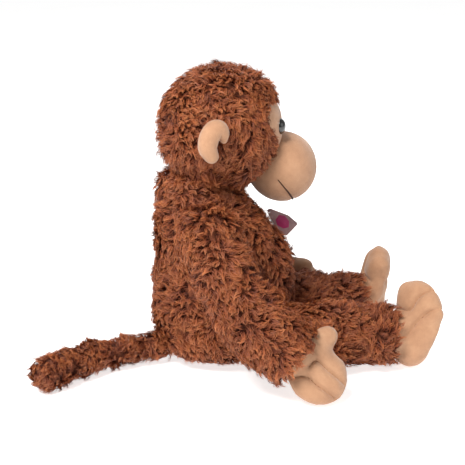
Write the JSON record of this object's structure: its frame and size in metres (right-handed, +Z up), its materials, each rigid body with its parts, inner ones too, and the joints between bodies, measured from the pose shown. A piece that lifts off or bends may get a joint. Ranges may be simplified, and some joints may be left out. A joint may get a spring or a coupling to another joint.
{
  "type": "stuffed monkey",
  "caption": "Seated plush monkey with long brown fur, a round velour muzzle, curled ears, soft hands and feet, a trailing tail and a blank swing tag.",
  "frame": {"origin": "middle of the flat seat, on the floor", "axes": "+X the way the monkey faces, +Y its left, +Z up"},
  "size_m": [0.3887, 0.2872, 0.292],
  "materials": {
    "long_pile_fur": "matte",
    "velour": "matte",
    "fibre_filling": "matte",
    "bean_cloth": "matte",
    "eye_plastic": "gloss",
    "washer_nylon": "satin",
    "thread": "matte",
    "tag_film": "satin",
    "tag_paper": "matte",
    "loop_plastic": "gloss"
  },
  "bodies": {
    "torso": {"torso_cover": "long_pile_fur", "torso_stuffing": "fibre_filling", "bean_pouch": "bean_cloth", "tag_loop": "loop_plastic"},
    "neck": {"neck_stuffing": "fibre_filling"},
    "head": {"head_cover": "long_pile_fur", "head_stuffing": "fibre_filling", "face_panel": "velour", "muzzle_cover": "velour", "muzzle_stuffing": "fibre_filling", "eye_right": "eye_plastic", "eye_left": "eye_plastic", "eye_washer_right": "washer_nylon", "eye_washer_left": "washer_nylon", "mouth_stitching": "thread"},
    "tail": {"tail_cover": "long_pile_fur", "tail_stuffing": "fibre_filling"},
    "tag": {"tag_card": "tag_film", "tag_insert": "tag_paper"},
    "ear_right": {"ear_right": "velour"},
    "arm_right": {"arm_cover_right": "long_pile_fur", "arm_stuffing_right": "fibre_filling"},
    "hand_right": {"hand_cover_right": "velour", "hand_filling_right": "fibre_filling", "finger_stitching_right": "thread"},
    "leg_right": {"leg_cover_right": "long_pile_fur", "leg_stuffing_right": "fibre_filling"},
    "foot_right": {"foot_cover_right": "velour", "foot_filling_right": "fibre_filling", "toe_stitching_right": "thread"},
    "ear_left": {"ear_left": "velour"},
    "arm_left": {"arm_cover_left": "long_pile_fur", "arm_stuffing_left": "fibre_filling"},
    "hand_left": {"hand_cover_left": "velour", "hand_filling_left": "fibre_filling", "finger_stitching_left": "thread"},
    "leg_left": {"leg_cover_left": "long_pile_fur", "leg_stuffing_left": "fibre_filling"},
    "foot_left": {"foot_cover_left": "velour", "foot_filling_left": "fibre_filling", "toe_stitching_left": "thread"}
  },
  "joints": [
    {"name": "neck_turn", "type": "hinge", "parent": "torso", "child": "neck", "pos_m": [-0.001, 0, 0.165], "axis": [0, 0, 1], "range_deg": [-25, 25]},
    {"name": "neck_nod", "type": "hinge", "parent": "neck", "child": "head", "pos_m": [-0.001, 0, 0.232], "axis": [0, 1, 0], "range_deg": [-20, 5], "stiffness_Nm_per_rad": 0.4},
    {"name": "shoulder_swing_right", "type": "hinge", "parent": "torso", "child": "arm_right", "pos_m": [-0.025, -0.069, 0.148], "axis": [0, 0.9205, -0.3907], "range_deg": [-60, 8]},
    {"name": "wrist_bend_right", "type": "hinge", "parent": "arm_right", "child": "hand_right", "pos_m": [0.04174, -0.1144, 0.04105], "axis": [0.5056, 0.4349, 0.7451], "range_deg": [-25, 10], "stiffness_Nm_per_rad": 0.05},
    {"name": "shoulder_swing_left", "type": "hinge", "parent": "torso", "child": "arm_left", "pos_m": [-0.004, 0.069, 0.148], "axis": [0, 0.9205, 0.3907], "range_deg": [-60, 8]},
    {"name": "wrist_bend_left", "type": "hinge", "parent": "arm_left", "child": "hand_left", "pos_m": [0.08369, 0.10859, 0.05474], "axis": [-0.2045, 0.8914, -0.4045], "range_deg": [-25, 10], "stiffness_Nm_per_rad": 0.05},
    {"name": "hip_swing_right", "type": "hinge", "parent": "torso", "child": "leg_right", "pos_m": [0.034, -0.048, 0.037], "axis": [0.1045, 0.9945, 0], "range_deg": [-8, 75]},
    {"name": "ankle_bend_right", "type": "hinge", "parent": "leg_right", "child": "foot_right", "pos_m": [0.15526, -0.06074, 0.03274], "axis": [-0.4341, 0.8973, 0.08], "range_deg": [-10, 8], "stiffness_Nm_per_rad": 0.1},
    {"name": "hip_swing_left", "type": "hinge", "parent": "torso", "child": "leg_left", "pos_m": [0.034, 0.046, 0.038], "axis": [0.0174, 0.9998, 0], "range_deg": [-8, 75]},
    {"name": "ankle_bend_left", "type": "hinge", "parent": "leg_left", "child": "foot_left", "pos_m": [0.15591, 0.04387, 0.03374], "axis": [0.2019, 0.9793, -0.013], "range_deg": [-10, 8], "stiffness_Nm_per_rad": 0.1},
    {"name": "ear_fold_right", "type": "hinge", "parent": "head", "child": "ear_right", "pos_m": [-0.02, -0.056, 0.234], "axis": [0, 0, 1], "range_deg": [-20, 20], "stiffness_Nm_per_rad": 0.05},
    {"name": "ear_fold_left", "type": "hinge", "parent": "head", "child": "ear_left", "pos_m": [-0.02, 0.056, 0.234], "axis": [0, 0, 1], "range_deg": [-20, 20], "stiffness_Nm_per_rad": 0.05},
    {"name": "tail_sweep", "type": "hinge", "parent": "torso", "child": "tail", "pos_m": [-0.058, 0, 0.018], "axis": [0, 0, 1], "range_deg": [-22, 18]},
    {"name": "tag_swing", "type": "hinge", "parent": "torso", "child": "tag", "pos_m": [0.052, 0.014, 0.143], "axis": [-0.6204, 0.2335, -0.7487], "range_deg": [-25, 15]}
  ]
}
